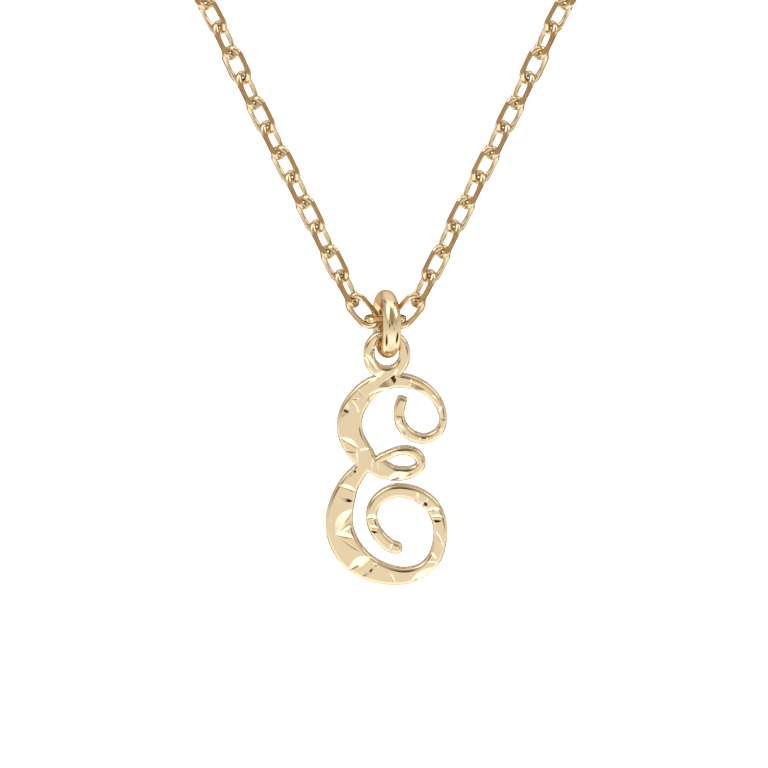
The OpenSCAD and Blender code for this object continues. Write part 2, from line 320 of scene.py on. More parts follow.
FINISHES = {
    "letter_front": GoldFinish("letter_front_gold", GOLD, WARM, 0.08, 0.05, 500, 0.04, rim=DARK_RIM_PAINT),
    # Paler copy of the gold: a painted highlight that whitens the diamond cuts.
    "letter_cut": GoldFinish("letter_cut_gold", (0.9, 0.79, 0.6), (0.86, 0.74, 0.54), 0.03, 0.02, 900, 0.03),
    # Paler copy of the gold on the walls: painted brightness, with painted shade in the grooves of the ribs.
    "letter_wall": GoldFinish("letter_wall_gold", (0.93, 0.82, 0.66), (0.88, 0.76, 0.58), 0.2, 0.1,
                              ribs=7000, bump=0.6, reach=0.00006, groove_painted_shade=(0.34, 0.21, 0.1)),
    "ring": GoldFinish("ring_gold", GOLD, WARM, 0.1, 0.05, 300, 0.05, rim=(0.8, 0.62, 0.42)),
    "chain": GoldFinish("chain_gold", GOLD, WARM, 0.1, 0.06, 1500, 0.08, rim=DARK_RIM_PAINT),
    # Brown, darker copy of the gold: painted shade on the ground flats of the links.
    "chain_flat": GoldFinish("chain_flat_gold", FLAT_PAINTED_SHADE, (0.62, 0.4, 0.2), 0.36, 0.1, 1800, 0.1, rim=DARK_RIM_PAINT),
    "clasp": GoldFinish("clasp_gold", GOLD, WARM, 0.12, 0.06, 600, 0.1, rim=DARK_RIM_PAINT),
}


# Shapes


def to_mesh(bm: BMesh, name: str, materials: list[Material]) -> Mesh:
    """Turns a bmesh into a mesh and frees it.

    Args:
        bm: The shape.
        name: Name of the mesh.
        materials: Its materials, in slot order.

    Returns:
        The mesh.
    """
    mesh = bpy.data.meshes.new(name)
    bm.to_mesh(mesh)
    bm.free()
    for mat in materials:
        mesh.materials.append(mat)
    return mesh


def add_object(name: str, data: ID) -> Object:
    """Links new data to the scene as an object at the origin.

    Args:
        name: Name of the object.
        data: Its mesh, light or camera.

    Returns:
        The object.
    """
    obj = bpy.data.objects.new(name, data)
    bpy.context.scene.collection.objects.link(obj)
    return obj


def finish_piece(bm: BMesh, name: str, body: str, node: str,
                 materials: list[Material]) -> Object:
    """Turns a bmesh into a piece that rides on its body.

    Args:
        bm: The shape, in metres, in its place.
        name: Name of the piece.
        body: Body that carries it.
        node: CAD node that it stands for.
        materials: Its materials, in slot order.

    Returns:
        The new object.
    """
    piece = add_object(name, to_mesh(bm, name, materials))
    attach(piece, body)
    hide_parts(node)
    log.info("%s: %d faces", name, len(piece.data.polygons))
    return piece


def wire_circle(bm: BMesh, radius: float, wire: float, sides: int) -> list[BMVert]:
    """Stands the round section of a wire on the X axis, ready to be spun about Z.

    Args:
        bm: Mesh to add to.
        radius: Distance of its middle from the origin.
        wire: Diameter of the wire.
        sides: Sides of the wire.

    Returns:
        The section's vertices.
    """
    verts = bmesh.ops.create_circle(bm, cap_ends=False, segments=sides, radius=wire / 2)["verts"]
    bmesh.ops.rotate(bm, verts=verts, cent=(0, 0, 0), matrix=Matrix.Rotation(math.pi / 2, 3, "X"))
    bmesh.ops.translate(bm, verts=verts, vec=(radius, 0, 0))
    return verts


def add_torus(bm: BMesh, radius: float, wire: float, place: Matrix, steps: int = 96,
              sides: int = 32) -> None:
    """Spins a round wire into a closed ring whose axis is the place's Z.

    Args:
        bm: Mesh to add to.
        radius: Radius of the middle of the wire.
        wire: Diameter of the wire.
        place: Where the ring goes.
        steps: Steps round the ring.
        sides: Sides of the wire.
    """
    old = set(bm.verts)
    verts = wire_circle(bm, radius, wire, sides)
    edges = [e for e in bm.edges if e.verts[0] in verts and e.verts[1] in verts]
    bmesh.ops.spin(bm, geom=verts + edges, cent=(0, 0, 0), axis=(0, 0, 1), angle=2 * math.pi,
                   steps=steps, use_merge=True, use_duplicate=False)
    new = [v for v in bm.verts if v not in old]
    bmesh.ops.transform(bm, matrix=place, verts=new)


def slice_off(bm: BMesh, at: Vector, normal: Vector, near: float) -> list[BMFace]:
    """Cuts away what lies beyond a plane and closes the cut.

    Args:
        bm: Mesh to cut.
        at: A point of the plane.
        normal: Direction of the side that goes.
        near: Distance within which a vertex counts as on the plane.

    Returns:
        The faces that close the cut.
    """
    geom = bm.verts[:] + bm.edges[:] + bm.faces[:]
    bmesh.ops.bisect_plane(bm, geom=geom, dist=near, plane_co=at, plane_no=normal, clear_outer=True)
    return bmesh.ops.holes_fill(bm, edges=[e for e in bm.edges if e.is_boundary], sides=0)["faces"]


def smooth_all(bm: BMesh) -> None:
    """Turns the normals outwards and shades every face smooth.

    Args:
        bm: The shape.
    """
    bmesh.ops.recalc_face_normals(bm, faces=bm.faces)
    for f in bm.faces:
        f.smooth = True


@dataclass
class Gauge:
    """Sizes that the pieces share, in millimetres, as in the part's source.

    Attributes:
        wire: Diameter of the links' wire.
        link_l: Outer length of a link.
        link_w: Outer width of a link.
        play: Free play between two neighbouring links.
        flat_share: Share of the wire that a ground flat takes off.
        ring_wire: Diameter of the jump ring's wire.
        ring_d: Outer diameter of the jump ring.
        ring_turn: Turn of the jump ring about the vertical, in degrees.
        ring_slide: How far the jump ring has slid along the middle link.
        hang_gap: Gap where the jump ring hangs on the chain.
        front: Centre of the middle link.
    """

    wire: float = 0.48
    link_l: float = 3.13
    link_w: float = 2.0
    play: float = 0.12
    flat_share: float = 0.28
    ring_wire: float = 1.36
    ring_d: float = 5.05
    ring_turn: float = 12.5
    ring_slide: float = 0.1
    hang_gap: float = 0.05
    front: Vector = field(default_factory=lambda: Vector((0, -56, -62)))

    @property
    def half_l(self) -> float:
        """Half length of a link along the middle of its wire."""
        return (self.link_l - self.wire) / 2

    @property
    def half_w(self) -> float:
        """Half width of a link along the middle of its wire."""
        return (self.link_w - self.wire) / 2

    @property
    def pitch(self) -> float:
        """Step from one link to the next."""
        return self.link_l - 2 * self.wire - self.play

    @property
    def flat_bar(self) -> float:
        """Distance of the ground flats from the link's long axis."""
        return self.half_w * math.sqrt(0.5) + self.wire * (0.5 - self.flat_share)

    @property
    def ring_r(self) -> float:
        """Radius of the middle of the jump ring's wire."""
        return (self.ring_d - self.ring_wire) / 2

    @property
    def ring_at(self) -> Vector:
        """Centre of the jump ring."""
        rest = self.ring_r - self.ring_wire / 2 - self.wire / 2 - self.hang_gap
        across = self.half_w / math.cos(math.radians(self.ring_turn))
        return self.front + Vector((self.ring_slide, 0, -math.sqrt(rest ** 2 - across ** 2)))


@dataclass
class Chain:
    """The diamond-cut cable chain, link by link along its route.

    Attributes:
        gauge: The shared sizes.
        links_side: Links on each side of the middle link.
        near_links: Links on each side that are drawn finely.
        link_turn: Turn of the links about the line of the arms, in degrees.
        turn_in: Links over which that turn sets in, from the middle.
        turn_out: Links over which it dies away, towards the clasp.
        arm_lean: Lean of the arms from the vertical, in degrees.
        first_lean: Lean of the first link.
        second_lean: Lean of the second link.
        first_step: Step from the middle link to the first one, in pitches.
        second_step: Step from the first link to the second one, in pitches.
        arm_run: Length of the straight arms.
        end_r: Radius of a link's round ends along the middle of the wire.
        spans: Half width, half depth and drop of the neck opening, which scale the route.
        route: Points of the hidden stretch, as shares of the spans.
        route_steps: Steps between two points of the route.
    """

    gauge: Gauge
    links_side: int = 100
    near_links: int = 28
    link_turn: float = 31.0
    turn_in: int = 4
    turn_out: int = 25
    arm_lean: float = 26.0
    first_lean: float = 40.0
    second_lean: float = 28.0
    first_step: Vector = field(default_factory=lambda: Vector((0.822, 0, 0.287)))
    second_step: Vector = field(default_factory=lambda: Vector((0.548, 0, 0.812)))
    arm_run: float = 25.0
    end_r: float = 0.62
    spans: Vector = field(default_factory=lambda: Vector((60, 56, 62)))
    route: tuple[Triple, ...] = (
        (0.37, 0.04, 0.61), (0.58, 0.15, 0.845), (0.8, 0.37, 0.948), (0.96, 0.68, 1.01),
        (1.005, 1.01, 1.062), (0.93, 1.37, 1.115), (0.71, 1.68, 1.158), (0.4, 1.88, 1.182),
        (0.09, 1.9, 1.186))
    route_steps: int = 12

    def __post_init__(self) -> None:
        """Works out the route and the length run at each of its points."""
        pitch = self.gauge.pitch
        self.first_at = pitch * self.first_step
        self.second_at = self.first_at + pitch * self.second_step
        arm = self.leaning(self.arm_lean)
        marks = [self.second_at + i / 3 * self.arm_run * arm for i in range(4)]
        marks += [Vector((x * self.spans.x, y * self.spans.y, z * self.spans.z)) for x, y, z in self.route]
        raw = self.smooth(marks, self.route_steps)
        scale = (self.links_side - 2) * pitch / self.run(raw)[-1]
        self.way = [self.second_at + scale * (p - self.second_at) for p in raw]
        self.marks = self.run(self.way)

    @staticmethod
    def leaning(angle: float) -> Vector:
        """Direction in the front plane that leans from the vertical by an angle in degrees."""
        a = math.radians(angle)
        return Vector((math.sin(a), 0, math.cos(a)))

    @staticmethod
    def run(points: list[Vector]) -> list[float]:
        """Measures along a line.

        Args:
            points: The line's points.

        Returns:
            The length run at each point.
        """
        out = [0.0]
        for a, b in zip(points, points[1:]):
            out.append(out[-1] + (b - a).length)
        return out

    @staticmethod
    def smooth(points: list[Vector], steps: int) -> list[Vector]:
        """Draws a smooth line through points.

        Args:
            points: The points.
            steps: Steps between each two.

        Returns:
            The line's points.
        """
        out = []
        for i in range(len(points) - 1):
            a = points[i - 1] if i else 2 * points[0] - points[1]
            b, c = points[i], points[i + 1]
            d = points[i + 2] if i < len(points) - 2 else 2 * points[-1] - points[-2]
            for j in range(steps):
                t = j / steps
                out.append(0.5 * (2 * b + (c - a) * t + (2 * a - 5 * b + 4 * c - d) * t * t
                                  + (3 * b - a - 3 * c + d) * t ** 3))
        return out + [points[-1]]

    def at(self, far: float) -> Vector:
        """Finds a point of the route.

        Args:
            far: Length run from its start.

        Returns:
            The point.
        """
        if far <= 0:
            return self.way[0].copy()
        for i in range(1, len(self.marks)):
            if far <= self.marks[i]:
                share = (far - self.marks[i - 1]) / (self.marks[i] - self.marks[i - 1])
                return self.way[i - 1].lerp(self.way[i], share)
        return self.way[-1].copy()

    def place(self, number: int, side: int) -> Matrix:
        """Works out the place of one link.

        Args:
            number: Number of the link, 0 for the middle one.
            side: 1 for the right half, -1 for the left.

        Returns:
            The link's matrix, in millimetres from the middle link.
        """
        if number == 0:
            return Matrix.Identity(4)
        far, half = (number - 2) * self.gauge.pitch, self.gauge.half_l
        centre = self.first_at if number == 1 else self.at(far)
        if number == 1:
            along = self.leaning(self.first_lean)
        elif number == 2:
            along = self.leaning(self.second_lean)
        else:
            along = (self.at(far + half) - self.at(max(0, far - half))).normalized()
        fade = min(1, (number + 1) / self.turn_in) * min(1, (self.links_side - number) / self.turn_out)
        twist = side * math.radians(self.link_turn * fade + (90 if number % 2 else 0))
        return (Matrix.Translation((side * centre.x, centre.y, centre.z))
                @ Matrix.Rotation(math.atan2(along.y, side * along.x), 4, "Z")
                @ Matrix.Rotation(-math.asin(along.z), 4, "Y")
                @ Matrix.Rotation(twist, 4, "X"))

    def link_mesh(self, kind: LinkKind) -> Mesh:
        """Models one link, in millimetres, along X.

        Args:
            kind: How finely it is drawn.

        Returns:
            A mesh with the ground flats in the second material slot.
        """
        sides, end_steps, side_steps = kind.value
        g = self.gauge
        end_x = g.half_l - self.end_r
        side_r = (end_x ** 2 + g.half_w ** 2 - self.end_r ** 2) / (2 * (g.half_w - self.end_r))
        side_y = g.half_w - side_r
        side_turn = 2 * math.atan2(end_x, -side_y)
        end_turn = math.pi - side_turn
        bm = bmesh.new()
        verts = wire_circle(bm, g.half_l, g.wire, sides)
        bmesh.ops.rotate(bm, verts=verts, cent=(end_x, 0, 0), matrix=Matrix.Rotation(-end_turn / 2, 3, "Z"))
        loop = verts + list(bm.edges)
        for cent, turn, steps in (
            ((end_x, 0, 0), end_turn, end_steps),
            ((0, side_y, 0), side_turn, side_steps),
            ((-end_x, 0, 0), end_turn, end_steps),
            ((0, -side_y, 0), side_turn, side_steps),
        ):
            loop = bmesh.ops.spin(bm, geom=loop, cent=cent, axis=(0, 0, 1), angle=turn, steps=steps,
                                  use_merge=False, use_duplicate=False)["geom_last"]
        bmesh.ops.remove_doubles(bm, verts=bm.verts, dist=1e-4)
        smooth_all(bm)
        root = math.sqrt(0.5)
        for y, z in ((root, root), (root, -root), (-root, root), (-root, -root)):
            normal = Vector((0, y, z))
            for f in slice_off(bm, normal * g.flat_bar, normal, 1e-6):
                f.material_index = 1
                f.smooth = False
                for e in f.edges:
                    e.smooth = False
        return to_mesh(bm, "link_pattern", [])

    def build(self, side: int, name: str, node: str, materials: list[Material]) -> Object:
        """Builds one half of the chain.

        Args:
            side: 1 for the right half, which has the middle link, -1 for the left.
            name: Name of the piece.
            node: CAD node that it stands for.
            materials: Materials of the round wire and of the flats.

        Returns:
            The chain half.
        """
        patterns = {kind: self.link_mesh(kind) for kind in LinkKind}
        bm = bmesh.new()
        for number in range(0 if side > 0 else 1, self.links_side + 1):
            pattern = patterns[LinkKind.NEAR if number <= self.near_links else LinkKind.FAR]
            old = len(bm.verts)
            bm.from_mesh(pattern)
            bm.verts.ensure_lookup_table()
            bmesh.ops.transform(bm, matrix=self.place(number, side), verts=bm.verts[old:])
        move = Matrix.Scale(MM, 4) @ Matrix.Translation(self.gauge.front)
        bmesh.ops.transform(bm, matrix=move, verts=bm.verts)
        for mesh in patterns.values():
            bpy.data.meshes.remove(mesh)
        return finish_piece(bm, name, "necklace", node, materials)


@dataclass
class JumpRing:
    """The thick closed ring that carries the letter.

    Attributes:
        gauge: The shared sizes.
    """

    gauge: Gauge

    def build(self, material: Material) -> Object:
        """Spins the ring in its place.

        Args:
            material: Its finish.

        Returns:
            The ring.
        """
        g = self.gauge
        bm = bmesh.new()
        place = (Matrix.Scale(MM, 4) @ Matrix.Translation(g.ring_at)
                 @ Matrix.Rotation(math.radians(g.ring_turn), 4, "Z") @ Matrix.Rotation(math.pi / 2, 4, "Y"))
        add_torus(bm, g.ring_r, g.ring_wire, place, 128, 48)
        smooth_all(bm)
        return finish_piece(bm, "jump_ring_gold", "bail", "jump_ring", [material])


@dataclass
class Clasp:
    """The plain closed clasp at the nape.

    Attributes:
        gauge: The shared sizes.
        outer: Outer diameter of the clasp.
        wire: Diameter of its tube.
        loop_wire: Diameter of the loops' wire.
        loop_r: Radius of the loops along the middle of their wire.
        loop_play: Free play between a loop and its last link.
        neck: Diameter of the neck between the clasp and a loop.
        neck_sink: How far the neck sinks into both, in all.
    """

    gauge: Gauge
    outer: float = 5.5
    wire: float = 1.1
    loop_wire: float = 0.6
    loop_r: float = 0.9
    loop_play: float = 0.06
    neck: float = 0.75
    neck_sink: float = 0.3

    def build(self, chain: Chain, material: Material) -> Object:
        """Spins the clasp and its two loops round the last links.

        Args:
            chain: The chain, for the place of its last links.
            material: Its finish.

        Returns:
            The clasp.
        """
        g = self.gauge
        last = chain.way[-1]
        tube_r = (self.outer - self.wire) / 2
        loop_x = last.x - g.half_l + g.wire / 2 + self.loop_wire / 2 + self.loop_play - self.loop_r
        place = (Matrix.Scale(MM, 4) @ Matrix.Translation(g.front + Vector((0, last.y, last.z)))
                 @ Matrix.Rotation(math.pi / 2, 4, "X"))
        bm = bmesh.new()
        add_torus(bm, tube_r, self.wire, place, 96, 32)
        for side in (-1, 1):
            loop_at = place @ Matrix.Translation((side * loop_x, 0, 0))
            add_torus(bm, self.loop_r, self.loop_wire, loop_at, 64, 24)
            middle = side * (tube_r + loop_x - self.loop_r) / 2
            length = loop_x - self.loop_r - tube_r + self.neck_sink
            bmesh.ops.create_cone(
                bm, cap_ends=True, segments=24, radius1=self.neck / 2, radius2=self.neck / 2, depth=length,
                matrix=place @ Matrix.Translation((middle, 0, 0)) @ Matrix.Rotation(math.pi / 2, 4, "Y"))
        smooth_all(bm)
        return finish_piece(bm, "clasp_gold", "necklace", "clasp", [material])


# Diamond cuts as in the part's source: across, up, direction, length, width, lean.
# Across and up are shares of the letter, length and width of its widest stroke, the others degrees.
CUTS: tuple[tuple[float, ...], ...] = (
    (0.184, 0.459, -21, 0.73, 0.17, -15), (0.172, 0.413, -20, 0.62, 0.10, 20),
    (0.156, 0.304, 57, 1.11, 0.24, -20), (0.164, 0.282, 45, 0.84, 0.09, 10),
    (0.160, 0.266, 29, 0.70, 0.09, -10), (0.160, 0.233, -12, 0.70, 0.14, -20),
    (0.205, 0.193, -36, 0.84, 0.09, 10), (0.287, 0.106, 31, 0.98, 0.28, -15),
    (0.345, 0.064, 38, 0.52, 0.09, 20), (0.410, 0.099, -30, 0.28, 0.14, 0),
    (0.553, 0.033, -65, 0.49, 0.09, -10), (0.795, 0.052, 33, 1.05, 0.17, -15),
    (0.885, 0.107, -8, 0.56, 0.08, -15), (0.880, 0.150, -48, 0.50, 0.08, -8),
    (0.885, 0.358, 12, 0.52, 0.14, -15), (0.910, 0.326, 2, 0.52, 0.11, -15),
    (0.912, 0.310, -2, 0.52, 0.07, 20), (0.746, 0.412, 80, 0.49, 0.13, 14),
    (0.810, 0.388, 58, 0.50, 0.13, 17), (0.381, 0.322, 12, 0.49, 0.17, -15),
    (0.393, 0.275, -5, 0.49, 0.11, -15), (0.389, 0.259, -8, 0.49, 0.07, 20),
    (0.545, 0.181, 78, 0.45, 0.10, -10), (0.287, 0.911, 118, 0.45, 0.08, -10),
    (0.352, 0.878, -60, 0.42, 0.08, 0), (0.515, 0.970, 36, 0.84, 0.22, 20),
    (0.420, 0.981, 39, 0.80, 0.15, -15), (0.443, 0.918, 20, 0.87, 0.11, -15),
    (0.160, 0.831, 68, 0.59, 0.14, 20), (0.250, 0.845, -60, 0.59, 0.08, -10),
    (0.246, 0.882, 5, 0.31, 0.06, 0), (0.197, 0.675, -31, 0.77, 0.18, -15),
    (0.201, 0.635, -4, 0.52, 0.09, 10), (0.252, 0.591, 86, 0.80, 0.09, 20),
    (0.320, 0.645, 14, 0.38, 0.08, -10), (0.380, 1.052, -56, 0.80, 0.15, -15),
    (0.340, 1.055, -68, 0.55, 0.10, -15), (0.393, 1.112, 62, 0.42, 0.18, 18),
    (0.701, 0.953, 80, 0.52, 0.08, -10), (0.939, 0.838, 40, 0.28, 0.14, 0),
    (0.967, 0.788, -15, 0.38, 0.09, 15), (0.959, 0.736, -12, 0.38, 0.08, -10),
    (0.779, 0.687, 88, 0.38, 0.06, -10), (0.832, 0.689, 92, 0.38, 0.06, 10),
    (0.602, 0.802, -8, 0.38, 0.08, 15), (0.590, 0.773, 28, 0.28, 0.10, 0),
    (0.643, 0.734, 112, 0.38, 0.14, -15), (0.389, 0.562, 90, 0.66, 0.08, -10),
    (0.439, 0.558, -78, 0.66, 0.08, 10), (0.594, 0.513, 19, 0.87, 0.24, -15),
    (0.701, 0.532, 32, 0.38, 0.08, 10), (0.578, 0.626, 15, 0.42, 0.08, -10),
    (0.582, 0.997, 72, 0.45, 0.12, -15), (0.748, 0.945, -27, 0.70, 0.20, 14),
    (0.230, 0.537, 52, 0.42, 0.07, 20), (0.889, 0.887, -50, 0.24, 0.08, -15),
    (0.622, 0.742, 118, 0.42, 0.09, 20), (0.765, 0.392, -50, 0.42, 0.14, 14),
    (0.934, 0.225, -62, 0.66, 0.10, -10),
)


@dataclass
class Letter:
    """The script letter with its eye, rounded along its rims and then diamond cut.

    Attributes:
        gauge: The shared sizes.
        width: Width of the letter.
        height: Height of the letter without its eye.
        stroke: Width of its widest stroke.
        thickness: Thickness of its plate.
        hang_up: Height of the hanging point, as a share of the letter's height.
        hang_across: The same across, as a share of its width.
        cut_slope: Depth of a diamond cut as a share of its width.
        wheel_sides: Sides of a cutting wheel.
        wheel_top: How far the wheels stand proud of the plate.
        bevel: Width of the fine bevel round the front.
        bevel_fall: Fall of that bevel.
        rim: Width of the rounded rim.
        rim_fall: Radius of the rim's fall.
        rim_start: Slope at which the rim starts, in degrees.
        rim_steps: Steps round the rim.
        back_rim: Radius of the rim at the back.
        least_edge: Shortest edge that is kept of the outline.
        crease: Angle between two faces that stays sharp, in degrees.
        ease: How much wider than the jump ring's wire the eye is eased.
        eased_swings: Swings of the letter at which it is eased, in degrees.
    """

    gauge: Gauge
    width: float = 9.0
    height: float = 16.0
    stroke: float = 2.1
    thickness: float = 1.0
    hang_up: float = 1.112
    hang_across: float = 0.504
    cut_slope: float = 0.34
    wheel_sides: int = 128
    wheel_top: float = 0.12
    bevel: float = 0.08
    bevel_fall: float = 0.017
    rim: float = 0.16
    rim_fall: float = 0.15
    rim_start: float = 20.0
    rim_steps: int = 6
    back_rim: float = 0.05
    least_edge: float = 0.012
    crease: float = 32.0
    ease: float = 0.05
    eased_swings: tuple[float, ...] = (34, 40, 46)

    @property
    def hang_at(self) -> Vector:
        """Middle of the ring wire that carries the letter."""
        return self.gauge.ring_at - Vector((0, 0, self.gauge.ring_r))

    def outline(self, source: Object) -> BMesh:
        """Takes the letter's outline from the plain back of its CAD solid.

        Args:
            source: The CAD node's object, which is only read.

        Returns:
            A bmesh with the outline's closed loops, and no faces.
        """
        bm = bmesh.new()
        bm.from_mesh(source.data)
        bmesh.ops.remove_doubles(bm, verts=bm.verts, dist=2e-7)
        bm.normal_update()
        back_y = max(v.co.y for v in bm.verts)
        others = [f for f in bm.faces if abs(f.calc_center_median().y - back_y) > 1e-6]
        bmesh.ops.delete(bm, geom=others, context="FACES")
        inner = [e for e in bm.edges if not e.is_boundary]
        bmesh.ops.delete(bm, geom=inner, context="EDGES")
        bmesh.ops.delete(bm, geom=list(bm.faces), context="FACES_ONLY")
        bmesh.ops.remove_doubles(bm, verts=bm.verts, dist=self.least_edge * MM)
        return bm

    @staticmethod
    def inward(bm: BMesh, sheet: Object) -> dict[BMVert, Vector]:
        """Finds the way into the metal at each point of the outline.

        Args:
            bm: The outline's loops.
            sheet: The CAD node's object, to tell metal from gaps.

        Returns:
            Each vertex with a vector that moves both its edges in by one.
        """
        reach = {}
        for v in bm.verts:
            a, b = (e.other_vert(v).co for e in v.link_edges)
            n1 = (v.co - a).cross(Vector((0, 1, 0))).normalized()
            n2 = (b - v.co).cross(Vector((0, 1, 0))).normalized()
            mid = (n1 + n2).normalized()
            reach[v] = mid / max(0.5, mid.dot(n1))
            probe = v.co + mid * 0.02 * MM + Vector((0, 0.001, 0))
            if not sheet.ray_cast(probe, Vector((0, -1, 0)), distance=0.0011)[0]:
                reach[v] = -reach[v]
        return reach

    @staticmethod
    def runs(bm: BMesh) -> dict[BMVert, tuple[float, float]]:
        """Measures along the loops of the outline.

        Args:
            bm: The outline's loops.

        Returns:
            Each vertex with its distance along its loop and the loop's length.
        """
        run: dict[BMVert, tuple[float, float]] = {}
        for start in bm.verts:
            if start in run:
                continue
            way, v, edge = [(start, 0.0)], start, start.link_edges[0]
            far = 0.0
            while True:
                far += edge.calc_length()
                v = edge.other_vert(v)
                if v is start:
                    break
                way.append((v, far))
                edge = next(e for e in v.link_edges if e is not edge)
            run.update({v: (at, far) for v, at in way})
        return run

    def stages(self) -> list[tuple[float, float]]:
        """Section of the plate's edge, from the front to the back.

        Returns:
            How far in each ring of the edge lies, and how far in front of the plate's middle.
        """
        half, start = self.thickness / 2, math.radians(self.rim_start)
        out = [(self.rim + self.bevel, half)]
        for i in range(self.rim_steps + 1):
            a = math.radians(self.rim_start + (90 - self.rim_start) * i / self.rim_steps)
            out.append((self.rim * (1 - math.sin(a)) / (1 - math.sin(start)),
                        half - self.bevel_fall - self.rim_fall * (math.cos(start) - math.cos(a))))
        for degrees in (90, 45, 0):
            a = math.radians(degrees)
            out.append((self.back_rim * (1 - math.sin(a)), self.back_rim * (1 - math.cos(a)) - half))
        return out

    def blank(self, source: Object) -> BMesh:
        """Raises the outline into a plate with rounded rims.

        Args:
            source: The CAD node's object.

        Returns:
            The plate before cutting, in metres.
        """
        bm = self.outline(source)
        reach = self.inward(bm, source)
        home = {v: v.co.copy() for v in bm.verts}
        mid_y = self.hang_at.y * MM
        stages = self.stages()
        wall = self.rim_steps + 2
        run = self.runs(bm)
        around = bm.loops.layers.uv.new("wall")

        def put(verts: list[BMVert], stage: tuple[float, float]) -> None:
            """Moves a ring of vertices to one stage of the edge.

            Args:
                verts: The vertices.
                stage: How far in it lies, and how far in front of the plate's middle.
            """
            for v in verts:
                v.co = home[v] + reach[v] * stage[0] * MM
                v.co.y = mid_y - stage[1] * MM

        ring = list(bm.edges)
        put(list(bm.verts), stages[0])
        caps = [list(ring)]
        for number, stage in enumerate(stages[1:], 1):
            grown = bmesh.ops.extrude_edge_only(bm, edges=ring)["geom"]
            verts = [g for g in grown if isinstance(g, BMVert)]
            ring = [g for g in grown if isinstance(g, BMEdge)]
            old = set(home)
            for v in verts:
                parent = next(e.other_vert(v) for e in v.link_edges if e.other_vert(v) in old)
                home[v], reach[v], run[v] = home[parent], reach[parent], run[parent]
            put(verts, stage)
            if number != wall:
                continue
            for f in (g for g in grown if isinstance(g, BMFace)):
                f.material_index = Surface.WALL.value
                far = max(run[v][0] for v in f.verts) - min(run[v][0] for v in f.verts)
                for loop in f.loops:
                    at, total = run[loop.vert]
                    lift = total if far > total / 2 and at < total / 2 else 0
                    loop[around].uv = (at + lift, loop.vert.co.y)
        caps.append(ring)
        for edges, way in zip(caps, (-1, 1)):
            filled = bmesh.ops.triangle_fill(bm, use_beauty=True, use_dissolve=False, edges=edges,
                                             normal=(0, way, 0))["geom"]
            for f in filled:
                if isinstance(f, BMFace):
                    f.material_index = Surface.FRONT.value
        bmesh.ops.recalc_face_normals(bm, faces=bm.faces)
        return bm

    def add_wheel(self, bm: BMesh, length: float, width: float, place: Matrix) -> None:
        """Adds one sharp-edged wheel, two cones base to base, that leaves a cut of the wanted size.

        Args:
            bm: Mesh to add to, in metres.
            length: Length of the cut where it breaks the surface.
            width: Width of the cut.
            place: Middle of the cut, with X along it and -Y out of the surface.
        """
        depth = self.cut_slope * width
        r = (length ** 2 / 4 + depth ** 2) / (2 * depth)
        h = width * r / (2 * depth)
        made = []
        for tip, turn in ((1, 0.0), (-1, math.pi)):
            made += bmesh.ops.create_cone(
                bm, cap_ends=False, segments=self.wheel_sides, radius1=r, radius2=0, depth=h,
                matrix=Matrix.Translation((0, 0, tip * h / 2)) @ Matrix.Rotation(turn, 4, "X"))["verts"]
        bmesh.ops.remove_doubles(bm, verts=made, dist=1e-4)
        made = [v for v in made if v.is_valid]
        bmesh.ops.transform(bm, matrix=place @ Matrix.Translation((0, depth - r, 0)), verts=made)

    def wheels(self) -> BMesh:
        """Sets up all that is cut away from the plate.

        Returns:
            The wheels of the diamond cuts and the ring that eases the eye, in metres.
        """
        bm = bmesh.new()
        foot = self.hang_at + Vector((0, -self.thickness / 2, 0))
        for across, up, turn, length, width, lean in CUTS:
            x, z = (across - self.hang_across) * self.width, (up - self.hang_up) * self.height
            place = (Matrix.Scale(MM, 4) @ Matrix.Translation(foot + Vector((x, 0, z)))
                     @ Matrix.Rotation(-math.radians(turn), 4, "Y")
                     @ Matrix.Rotation(math.radians(lean), 4, "X"))
            self.add_wheel(bm, length * self.stroke, width * self.stroke, place)
        top = (foot.y - self.wheel_top) * MM
        slice_off(bm, Vector((0, top, 0)), Vector((0, -1, 0)), 1e-8)
        self.ease_eye(bm)
        bmesh.ops.recalc_face_normals(bm, faces=bm.faces)
        for f in bm.faces:
            f.material_index = Surface.CUT.value
        return bm

    def ease_eye(self, bm: BMesh) -> None:
        """Adds a wider jump ring near the end of the letter's swing, to ease the back of the eye.

        Args:
            bm: Mesh to add to, in metres.
        """
        hang = Matrix.Translation(self.hang_at) @ Matrix.Rotation(math.radians(self.gauge.ring_turn), 4, "Z")
        for swing in self.eased_swings:
            place = (Matrix.Scale(MM, 4) @ hang @ Matrix.Rotation(-math.radians(swing), 4, "Y")
                     @ Matrix.Translation((0, 0, self.gauge.ring_r)) @ Matrix.Rotation(math.pi / 2, 4, "Y"))
            add_torus(bm, self.gauge.ring_r, self.gauge.ring_wire + self.ease, place, 72)

